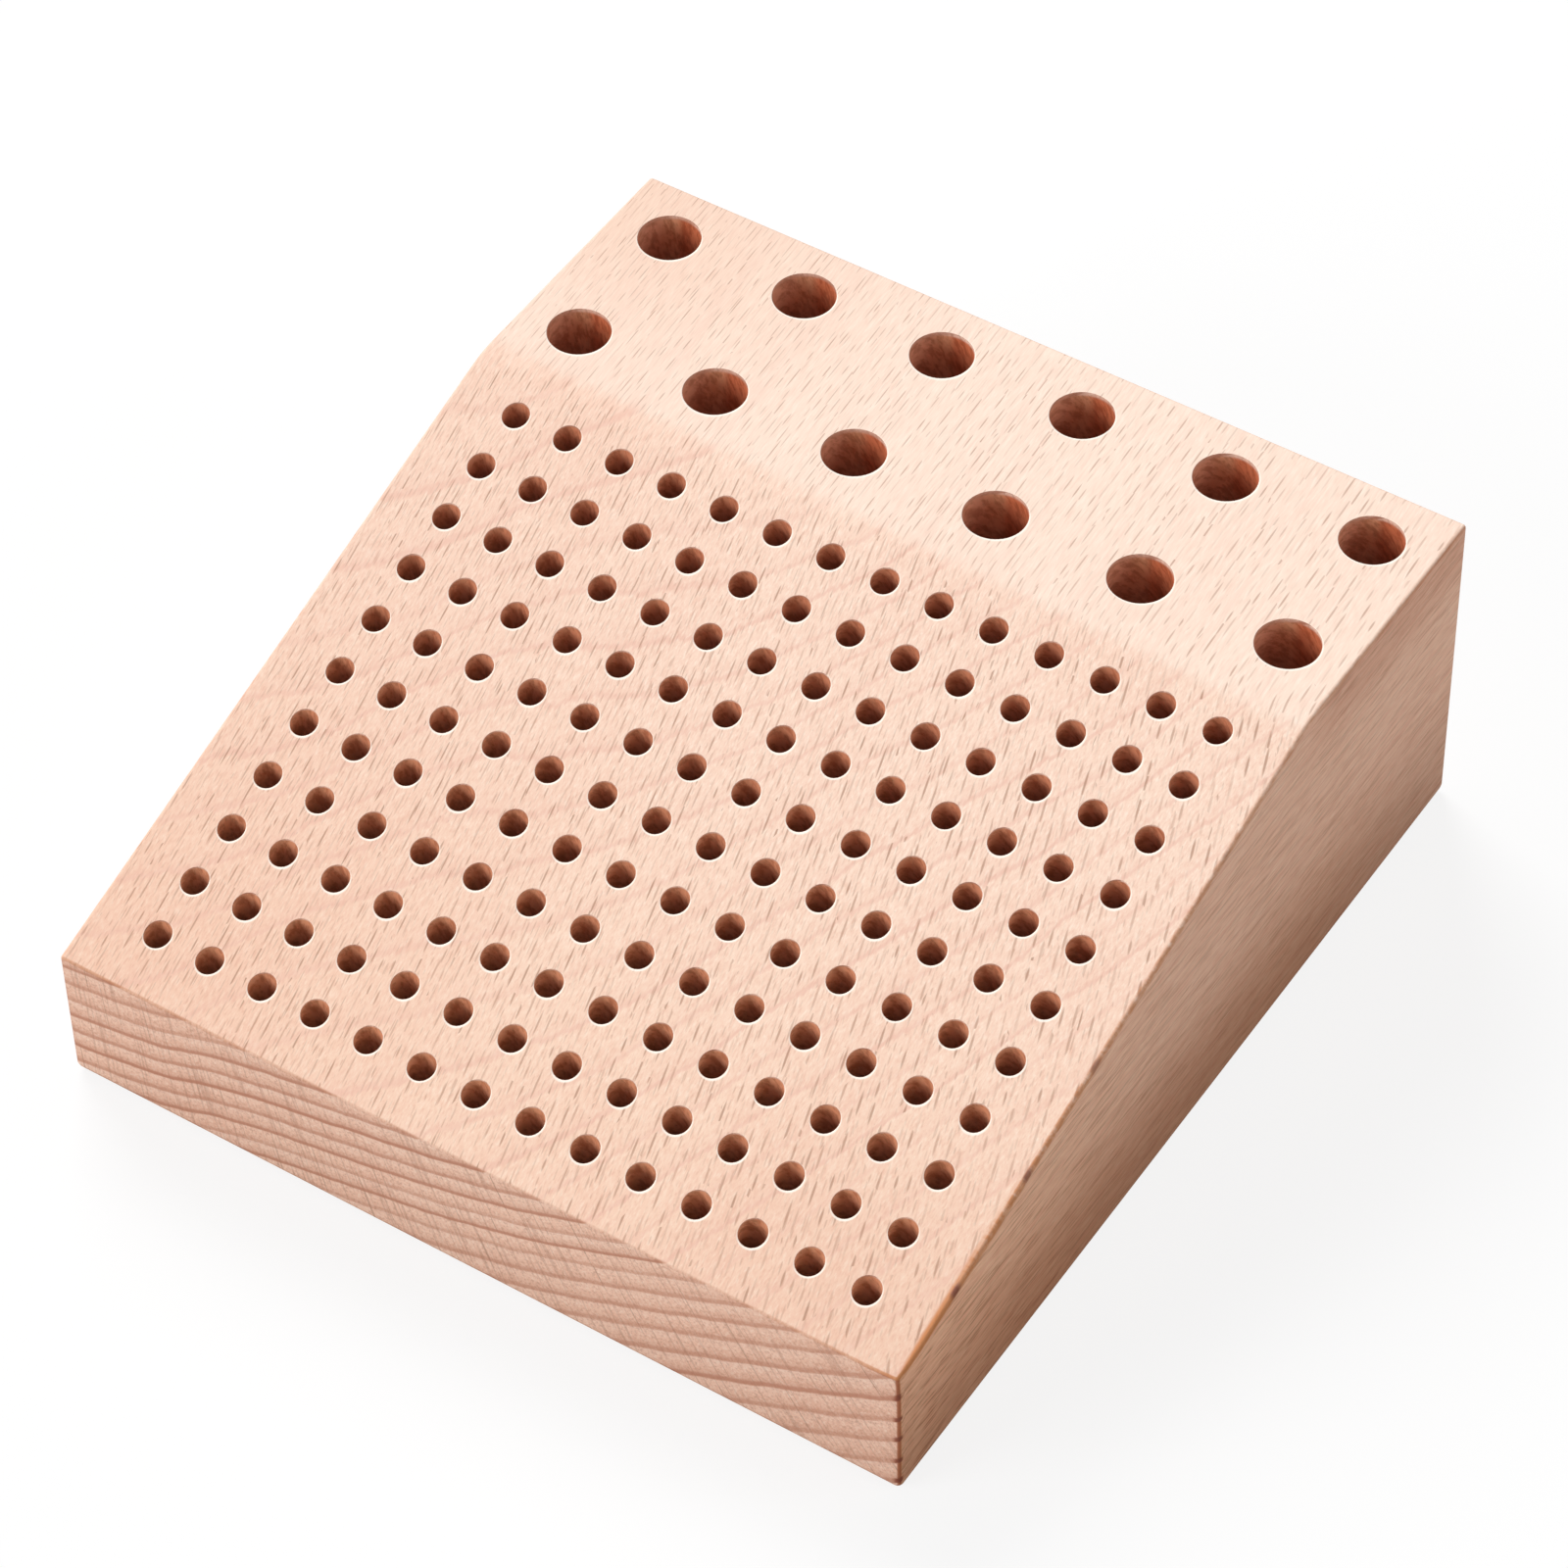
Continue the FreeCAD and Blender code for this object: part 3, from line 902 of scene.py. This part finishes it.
def sanded(g, wood):
    """Colour of the slope and the strip, which the other faces start from."""
    drift = g.line(wood.drift, TONE_BY_DRIFT, TONE_START)
    tone = g.math("MULTIPLY_ADD", wood.fibre, TONE_BY_FIBRE, drift, clamp=True)
    colour = g.mix(tone, CREAM, PINK)
    colour = g.mix(g.smooth(wood.hair, DARK_HAIR_SHOWS, (0.0, HAIR_STRENGTH)), colour, DARK_HAIR)
    colour = g.mix(g.smooth(wood.hair, PALE_HAIR_SHOWS, (HAIR_STRENGTH, 0.0)), colour, PALE_HAIR)
    colour = g.tint(g.smooth(wood.y, FRONT_TINT_Y, (SLOPE_TINT_STRENGTH, 0.0)), colour, FRONT_TINT)
    colour = g.tint(g.smooth(wood.across, LEFT_TINT_X, (SLOPE_TINT_STRENGTH, 0.0)), colour, LEFT_TINT)
    front_right = g.mul(g.smooth(wood.across, FRONT_RIGHT_X), g.smooth(wood.y, FRONT_RIGHT_Y, FALLING))
    colour = g.tint(front_right, colour, FRONT_RIGHT_TINT)
    figure = g.mul(g.mul(wood.ring_figure, wood.side_grain), g.between(wood.strip, FIGURE_SLOPE_TO_STRIP))
    colour = g.mix(figure, colour, FIGURE)
    # The paler strip is partly its own finish and partly a painted highlight for the stronger light on it.
    colour = g.mix(g.mul(wood.strip, STRIP_TONE_AND_HIGHLIGHT_STRENGTH), colour, STRIP_TONE_AND_HIGHLIGHT)
    back_left = g.mul(g.smooth(wood.across, BACK_LEFT_X, FALLING), g.smooth(wood.y, BACK_LEFT_Y))
    return g.tint(g.mul(wood.strip, back_left), colour, BACK_LEFT_TINT)


# End grain: it takes up more and shows pale and dark ring lines, pores, hatching and rays.
END_TINT = shade(1.03, 0.95, 0.92)
RING_PALE = shade(1.0, 0.83, 0.72)
RING_PALE_STRENGTH = 0.30
DARK_PORE = shade(0.52, 0.29, 0.21)
DARK_PORE_SHOWS = (0.50, 0.72)
DARK_PORE_STRENGTH = 0.55
PALE_PORE = shade(0.99, 0.78, 0.65)
PALE_PORE_SHOWS = (0.30, 0.48)
PALE_PORE_STRENGTH = 0.60
HATCH = shade(0.50, 0.28, 0.20)
HATCH_STRENGTH = 0.40
END_RAY = shade(0.42, 0.24, 0.17)
END_RAY_STRENGTH = 0.64
RING_LINE = shade(0.50, 0.21, 0.13)
RING_LINE_STRENGTH = 0.92


def with_end_grain(g, wood, colour):
    """The colour with end grain on the front and the back."""
    colour = g.tint(wood.end_grain, colour, END_TINT)
    layers = (
        (g.mul(wood.ring_pale, RING_PALE_STRENGTH), RING_PALE),
        (g.smooth(wood.pores, DARK_PORE_SHOWS, (0.0, DARK_PORE_STRENGTH)), DARK_PORE),
        (g.smooth(wood.pores, PALE_PORE_SHOWS, (PALE_PORE_STRENGTH, 0.0)), PALE_PORE),
        (g.mul(wood.hatch, HATCH_STRENGTH), HATCH),
        (g.mul(wood.end_rays, END_RAY_STRENGTH), END_RAY),
        (g.mul(wood.ring_line, RING_LINE_STRENGTH), RING_LINE),
    )
    for strength, layer in layers:
        colour = g.mix(g.mul(wood.end_grain, strength), colour, layer)
    return colour


# Sides: browner and streaked. The right one has painted shade low down and low in its middle, where a
# contact shadow falls by the floor, and is darker high at the back.
FLANK_TINT = shade(0.98, 0.90, 0.86)
RIGHT_TINT = shade(1.01, 0.935, 0.87)
LEFT_SIDE_TINT = shade(0.90, 0.92, 0.93)
# Painted shade: darker towards the base, and low in the middle of the right side.
LOW_SHADE = shade(0.74, 0.68, 0.64)
LOW_SHADE_Z = (2.0, 42.0)
NEAR_FRONT_TINT = shade(1.07, 1.05, 0.98)
NEAR_FRONT_Y = (-110.0, 0.0)
MIDDLE_SHADE = shade(0.89, 0.785, 0.705)
MIDDLE_SHADE_BEGINS_Y = (-105.0, -50.0)
MIDDLE_SHADE_ENDS_Y = (35.0, 100.0)
MIDDLE_SHADE_Z = (0.0, 48.0)
HIGH_BACK_TINT = shade(0.86, 0.78, 0.75)
HIGH_BACK_Y = (35.0, 60.0)
HIGH_BACK_Z = (58.0, 74.0)
DARK_STREAK = shade(0.67, 0.58, 0.52)
DARK_STREAK_SHOWS = (0.50, 0.66)
PALE_STREAK = shade(1.10, 1.13, 1.15)
PALE_STREAK_SHOWS = (0.34, 0.50)
STREAK_BACK_TO_FRONT = (0.50, 0.95)


def with_sides(g, wood, colour):
    """The colour with the tones and streaks of the left and the right side, and painted shade low on the
    right one.
    """
    # Painted shade towards the base of the right side, strongest in its middle: a contact shadow.
    low = g.mul(wood.right_flank, g.smooth(wood.z, LOW_SHADE_Z, FALLING))
    near_front = g.mul(wood.right_flank, g.smooth(wood.y, NEAR_FRONT_Y, FALLING))
    middle_shade = g.mul(g.smooth(wood.y, MIDDLE_SHADE_BEGINS_Y), g.smooth(wood.y, MIDDLE_SHADE_ENDS_Y, FALLING))
    middle_shade = g.mul(wood.right_flank, g.mul(middle_shade, g.smooth(wood.z, MIDDLE_SHADE_Z, FALLING)))
    high_back = g.mul(g.smooth(wood.y, HIGH_BACK_Y), g.smooth(wood.z, HIGH_BACK_Z))
    high_back = g.mul(wood.right_flank, high_back)
    streaked = g.mul(wood.flank, g.between(near_front, STREAK_BACK_TO_FRONT))
    tints = (
        (wood.flank, FLANK_TINT),
        (wood.right_flank, RIGHT_TINT),
        (wood.left_flank, LEFT_SIDE_TINT),
        (low, LOW_SHADE),
        (near_front, NEAR_FRONT_TINT),
        (middle_shade, MIDDLE_SHADE),
        (high_back, HIGH_BACK_TINT),
        (g.mul(g.smooth(wood.streak, DARK_STREAK_SHOWS), streaked), DARK_STREAK),
        (g.mul(g.smooth(wood.streak, PALE_STREAK_SHOWS, FALLING), streaked), PALE_STREAK),
    )
    for share, tint in tints:
        colour = g.tint(share, colour, tint)
    return colour


# Rays: plain on the slope, fainter on the strip and faintest on the sides and the end grain.
RAY = shade(0.37, 0.19, 0.12)
RAY_SLOPE_TO_STRIP = (0.70, 0.58)
RAY_TOP_TO_SIDES = (1.0, 0.10)


def with_rays(g, wood, colour):
    """The colour with the rays' dark spindles."""
    strength = g.between(wood.strip, RAY_SLOPE_TO_STRIP)
    strength = g.mul(strength, g.between(g.most(wood.end_grain, wood.flank), RAY_TOP_TO_SIDES))
    return g.mix(g.mul(wood.ray_mark, strength), colour, RAY)


# Singed edges, broken up. A band runs along the right upper edge, widest near the front, with dark knots.
# The upright edges are darkest where a ring line meets them.
SINGE = shade(0.62, 0.23, 0.075)
UPRIGHT_SINGE = shade(0.46, 0.14, 0.055)
DARK_SINGE = shade(0.23, 0.05, 0.025)
SINGE_STRENGTH = 0.9
BREAKS = ((0.12, 0.35, 0.35), 3.0, 0.7)
BREAKS_SHOW = (0.34, 0.58)
BREAKS_STRENGTH = (0.35, 1.0)
CORNER_Y = (-95.0, -50.0)
BAND_WIDENS = (1.0, 1.7)
BAND_BELOW_TOP = (0.7, 1.6)
BAND_X = (98.9, 99.4)
BAND_Y = (-100.0, 70.0)
BAND_STRENGTH = (1.0, 0.25)
OVER_EDGE_X = (98.2, 99.1)
UPRIGHT_FACING_Y = (-0.5, -0.2)
UPRIGHT_FACING_Z = (0.10, 0.45)
TEETH_X = (97.9, 99.2)
TEETH_FROM_FRONT = (0.7, 1.7)
TEETH_RING_LINE = (0.20, 0.60)
KNOT_YS = (-88.0, -62.0, -37.0, 12.0)
KNOT_REACH = (0.6, 2.2)


def with_singed_edges(g, wood, colour):
    """The colour with the brown edges."""
    broken = g.smooth(g.noise(wood.place, *BREAKS), BREAKS_SHOW, BREAKS_STRENGTH)
    top = g.math("MINIMUM", g.line(wood.from_front, GRADE, FRONT_HEIGHT), BACK_HEIGHT)
    below_top = g.sub(top, wood.z)
    near_corner = g.smooth(wood.y, CORNER_Y, FALLING)
    band = g.math("DIVIDE", below_top, g.between(near_corner, BAND_WIDENS))
    under_edge = g.mul(g.smooth(band, BAND_BELOW_TOP, FALLING), g.smooth(wood.across, BAND_X))
    under_edge = g.mul(under_edge, g.smooth(wood.y, BAND_Y, BAND_STRENGTH))
    over_edge = g.mul(g.mul(g.smooth(wood.across, OVER_EDGE_X), wood.upward), near_corner)
    singe = g.most(g.attribute("edge"), g.most(under_edge, over_edge))
    singe = g.mul(singe, g.most(broken, near_corner))
    standing = g.smooth(g.size(wood.facing_z), UPRIGHT_FACING_Z, FALLING)
    upright = g.mul(g.smooth(wood.facing_y, UPRIGHT_FACING_Y, FALLING), standing)
    at_corner = g.mul(g.smooth(wood.across, TEETH_X), g.smooth(wood.from_front, TEETH_FROM_FRONT, FALLING))
    teeth = g.mul(g.mul(at_corner, g.sub(1.0, wood.upward)), g.smooth(wood.ring_line, TEETH_RING_LINE))
    dark = g.most(g.mul(upright, wood.ring_line), teeth)
    singe = g.most(singe, teeth)
    for knot_y in KNOT_YS:
        apart = g.size(g.sub(wood.y, knot_y))
        knot = g.mul(g.smooth(apart, KNOT_REACH, FALLING), under_edge)
        dark = g.most(dark, knot)
        singe = g.most(singe, knot)
    char = g.mix(dark, g.mix(upright, SINGE, UPRIGHT_SINGE), DARK_SINGE)
    return g.mix(g.mul(singe, SINGE_STRENGTH), colour, char)


# Sockets: mouths carry a painted highlight at the cut. Walls are redder, most in the large sockets, and
# carry painted shade that darkens them with depth.
RIM_HIGHLIGHT = shade(1.0, 0.95, 0.86)
RIM_HIGHLIGHT_STRENGTH = 0.9
WALL_SHOWS = (0.2, 0.6)
WALL_SHADE_DEPTH = (0.5, 6.5)
# Wall colours at the mouth and deep down; the darker deep colour is painted shade.
WALL = (shade(0.81, 0.41, 0.235), shade(0.61, 0.355, 0.26))
LONG_WALL = (shade(0.95, 0.53, 0.33), shade(0.54, 0.32, 0.20))
LONG_WALL_FACING = (0.55, 0.90)
LONG_WALL_STRENGTH = 0.7
LARGE_BEGIN_Y = (46.0, 50.0)
UP_SLOPE_TINT = shade(0.90, 0.79, 0.77)
UP_SLOPE_Y = (-95.0, 40.0)
CROSS_CUT_TINT = shade(0.95, 0.86, 0.83)
CROSS_CUT_FACING = (0.05, 0.45)
LARGE_CROSS_TINT = shade(0.85, 0.56, 0.46)
LARGE_CROSS_TOP_TO_DEEP = (1.0, 0.5)
LARGE_LONG_TINT = shade(0.88, 0.80, 0.83)
CUT_TINT = shade(0.62, 0.50, 0.44)
CUTS = ((0.9, 0.25, 0.35), 3.0, 0.65)
CUTS_SHOW = (0.40, 0.64)
CUT_STRENGTH = 0.8


def with_sockets(g, wood, colour):
    """The colour with the sockets' walls, with painted shade deeper down, and the painted highlight on the
    mouths.
    """
    depth = g.attribute("depth")
    # Painted shade: the walls darken from the mouth downwards.
    deep_shade = g.smooth(depth, WALL_SHADE_DEPTH)
    long_grain = g.smooth(g.size(wood.facing_x), LONG_WALL_FACING)
    cross_cut = g.smooth(wood.facing_x, CROSS_CUT_FACING, FALLING)
    in_large = g.smooth(wood.y, LARGE_BEGIN_Y)
    up_slope = g.mul(g.smooth(wood.y, UP_SLOPE_Y), g.sub(1.0, in_large))
    large_cross = g.mul(g.mul(in_large, cross_cut), g.between(deep_shade, LARGE_CROSS_TOP_TO_DEEP))
    cuts = g.smooth(g.noise(wood.grain, *CUTS), CUTS_SHOW, (0.0, CUT_STRENGTH))
    wall = g.mix(g.mul(long_grain, LONG_WALL_STRENGTH), g.mix(deep_shade, *WALL), g.mix(deep_shade, *LONG_WALL))
    tints = (
        (up_slope, UP_SLOPE_TINT),
        (cross_cut, CROSS_CUT_TINT),
        (large_cross, LARGE_CROSS_TINT),
        (g.mul(in_large, long_grain), LARGE_LONG_TINT),
        (cuts, CUT_TINT),
    )
    for share, tint in tints:
        wall = g.tint(share, wall, tint)
    # Painted highlight along the mouths' eased cut.
    colour = g.mix(g.mul(g.attribute("rim"), RIM_HIGHLIGHT_STRENGTH), colour, RIM_HIGHLIGHT)
    return g.mix(g.smooth(depth, WALL_SHOWS), colour, wall)


# Feel of the surface: hairs stand up, rays and ring lines lie deeper.
HAIR_RELIEF = 0.4
RAY_RELIEF = 0.6
RING_RELIEF = 0.3
RELIEF_STRENGTH = 0.35
RELIEF_HEIGHT = 0.00004
ROUGHNESS = (0.58, 0.70)
ROUGHNESS_FIBRE = (0.2, 0.8)
SHINE = 0.2


def beech_material():
    """Bare, sanded beech that is solid right through: rings, rays and fibres run on into the sockets."""
    material = bpy.data.materials.new("beech")
    material.use_nodes = True
    shader = material.node_tree.nodes["Principled BSDF"]
    g = Graph(material.node_tree)
    wood = Wood(g)
    colour = sanded(g, wood)
    colour = with_end_grain(g, wood, colour)
    colour = with_sides(g, wood, colour)
    colour = with_rays(g, wood, colour)
    colour = with_singed_edges(g, wood, colour)
    colour = with_sockets(g, wood, colour)
    sunk = g.add(g.mul(wood.ray_mark, RAY_RELIEF), g.mul(wood.ring_line, RING_RELIEF))
    bump = g.node("ShaderNodeBump")
    g.feed(bump.inputs["Height"], g.sub(g.mul(wood.hair, HAIR_RELIEF), sunk))
    g.feed(bump.inputs["Strength"], RELIEF_STRENGTH)
    g.feed(bump.inputs["Distance"], RELIEF_HEIGHT)
    g.feed(shader.inputs["Normal"], bump.outputs[0])
    g.feed(shader.inputs["Base Color"], colour)
    g.feed(shader.inputs["Roughness"], g.smooth(wood.fibre, ROUGHNESS_FIBRE, ROUGHNESS))
    g.feed(shader.inputs["Specular IOR Level"], SHINE)
    return material


block = make_object("beech_block", block_mesh())
block.data.materials.append(beech_material())
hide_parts("caddy_block")
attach(block, "root")

# Plain pale floor that keeps a soft shadow, and a white surround. Sizes in metres.
WHITE = shade(1.0, 1.0, 1.0)
FLOOR_ENDS = (-3.0, 3.0)
FLOOR_DROP = 0.0001
FLOOR_VEIL = 0.85
FLOOR_SEEN = shade(0.95, 0.95, 0.95)
FLOOR_BOUNCE = shade(0.55, 0.55, 0.55)
FLOOR_ROUGHNESS = 0.9
AMBIENT = 0.2


def floor_material():
    """The camera sees a pale floor under a white veil; light bounces off a darker one."""
    material = bpy.data.materials.new("floor")
    material.use_nodes = True
    g = Graph(material.node_tree)
    bounce = material.node_tree.nodes["Principled BSDF"]
    bounce.inputs["Base Color"].default_value = FLOOR_BOUNCE
    bounce.inputs["Roughness"].default_value = FLOOR_ROUGHNESS
    bounce.inputs["Specular IOR Level"].default_value = 0.0
    glow = g.node("ShaderNodeEmission")
    glow.inputs["Color"].default_value = WHITE
    glow.inputs["Strength"].default_value = 1.0
    pale = g.node("ShaderNodeBsdfDiffuse")
    pale.inputs["Color"].default_value = FLOOR_SEEN
    path = g.node("ShaderNodeLightPath")
    veiled = g.blend(FLOOR_VEIL, pale.outputs[0], glow.outputs[0])
    seen = g.blend(path.outputs["Is Camera Ray"], bounce.outputs[0], veiled)
    g.feed(material.node_tree.nodes["Material Output"].inputs["Surface"], seen)
    return material


floor_corners = [(x, y, -FLOOR_DROP) for x in FLOOR_ENDS for y in FLOOR_ENDS]
floor_data = bpy.data.meshes.new("floor")
floor_data.from_pydata(floor_corners, [], [(0, 2, 3, 1)])
floor_data.materials.append(floor_material())
floor = bpy.data.objects.new("floor", floor_data)
bpy.context.scene.collection.objects.link(floor)

world = bpy.data.worlds.new("studio")
bpy.context.scene.world = world
world.use_nodes = True
world_graph = Graph(world.node_tree)
background = world.node_tree.nodes["Background"]
path = world_graph.node("ShaderNodeLightPath")
shown = world_graph.most(path.outputs["Is Camera Ray"], path.outputs["Is Glossy Ray"])
shown = world_graph.most(shown, path.outputs["Is Transmission Ray"])
background.inputs["Color"].default_value = WHITE
world_graph.feed(background.inputs["Strength"], world_graph.smooth(shown, (0.0, 1.0), (AMBIENT, 1.0)))

# Lamps: direction from the block, distance and side in metres, and light on a sheet that faces the lamp.
LAMP_AIM = Vector((0.0, 0.0, 0.05))
LAMPS = (
    ("key", (-0.60, 0.44, 0.67), 6.0, 3.2, 0.93),
    ("front_fill", (-0.52, -0.78, 0.36), 6.0, 3.2, 0.66),
    ("right_fill", (0.85, 0.25, 0.40), 1.2, 0.7, 0.22),
)
for name, direction, distance, side, level in LAMPS:
    lamp_data = bpy.data.lights.new(name, "AREA")
    lamp_data.shape = "SQUARE"
    lamp_data.size = side
    lamp_data.energy = level * (math.pi * distance) ** 2
    lamp = bpy.data.objects.new(name, lamp_data)
    towards = Vector(direction).normalized()
    lamp.location = LAMP_AIM + towards * distance
    lamp.rotation_euler = (-towards).to_track_quat("-Z", "Y").to_euler()
    bpy.context.scene.collection.objects.link(lamp)

# The photograph's viewpoint: its place in metres and its turns about x, y and z in degrees.
CAMERA_PLACE = (0.4689, -0.6899, 0.9571)
CAMERA_TURNS = (42.404, 0.948, 32.944)
CAMERA_LENS = 139.12
CAMERA_SENSOR = 36.0
camera_data = bpy.data.cameras.new("camera")
camera_data.lens = CAMERA_LENS
camera_data.sensor_width = CAMERA_SENSOR
camera_data.dof.use_dof = False
camera = bpy.data.objects.new("camera", camera_data)
camera.location = CAMERA_PLACE
camera.rotation_euler = [math.radians(turn) for turn in CAMERA_TURNS]
bpy.context.scene.collection.objects.link(camera)
bpy.context.scene.camera = camera
bpy.context.scene.view_settings.view_transform = "Standard"
